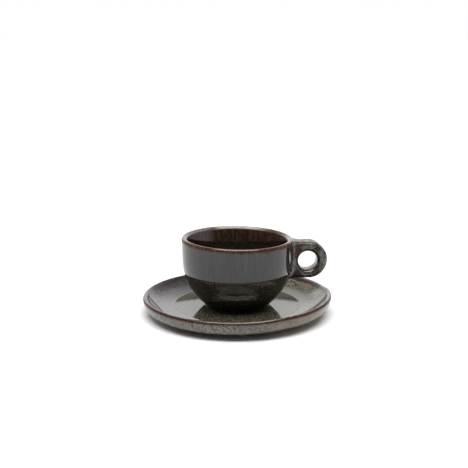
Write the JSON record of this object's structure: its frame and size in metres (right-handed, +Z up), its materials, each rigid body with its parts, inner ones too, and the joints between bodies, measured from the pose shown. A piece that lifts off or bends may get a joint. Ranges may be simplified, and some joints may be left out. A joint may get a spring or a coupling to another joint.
{
  "type": "cappuccino cup with saucer",
  "caption": "Low stoneware cappuccino cup with a banded upper wall, round bowl and ring handle, standing loose on a shallow flat-floored saucer, in a dark speckled reactive glaze.",
  "frame": {"origin": "middle of the saucer's foot, on the surface that the saucer stands on", "axes": "+Z up along the turning axis that the cup and saucer share, +X out through the handle's ring, +Y through the finger hole to the back"},
  "size_m": [0.15, 0.15, 0.0613],
  "materials": {
    "cup_glaze": "glossy iron-dark reactive glaze, streaked grey on the band, rust brown where it breaks over the lip",
    "handle_glaze": "glossy iron-dark reactive glaze, rust brown on the edges",
    "saucer_glaze": "glossy mottled ash-grey and olive glaze with a rust brown rim"
  },
  "bodies": {
    "saucer": {"saucer": "saucer_glaze"},
    "cup": {"cup_body": "cup_glaze", "handle": "handle_glaze"}
  },
  "joints": [
    {"name": "cup_lift", "type": "slide", "parent": "saucer", "child": "cup", "axis": [0, 0, 1], "range_m": [0, 0.12]}
  ]
}
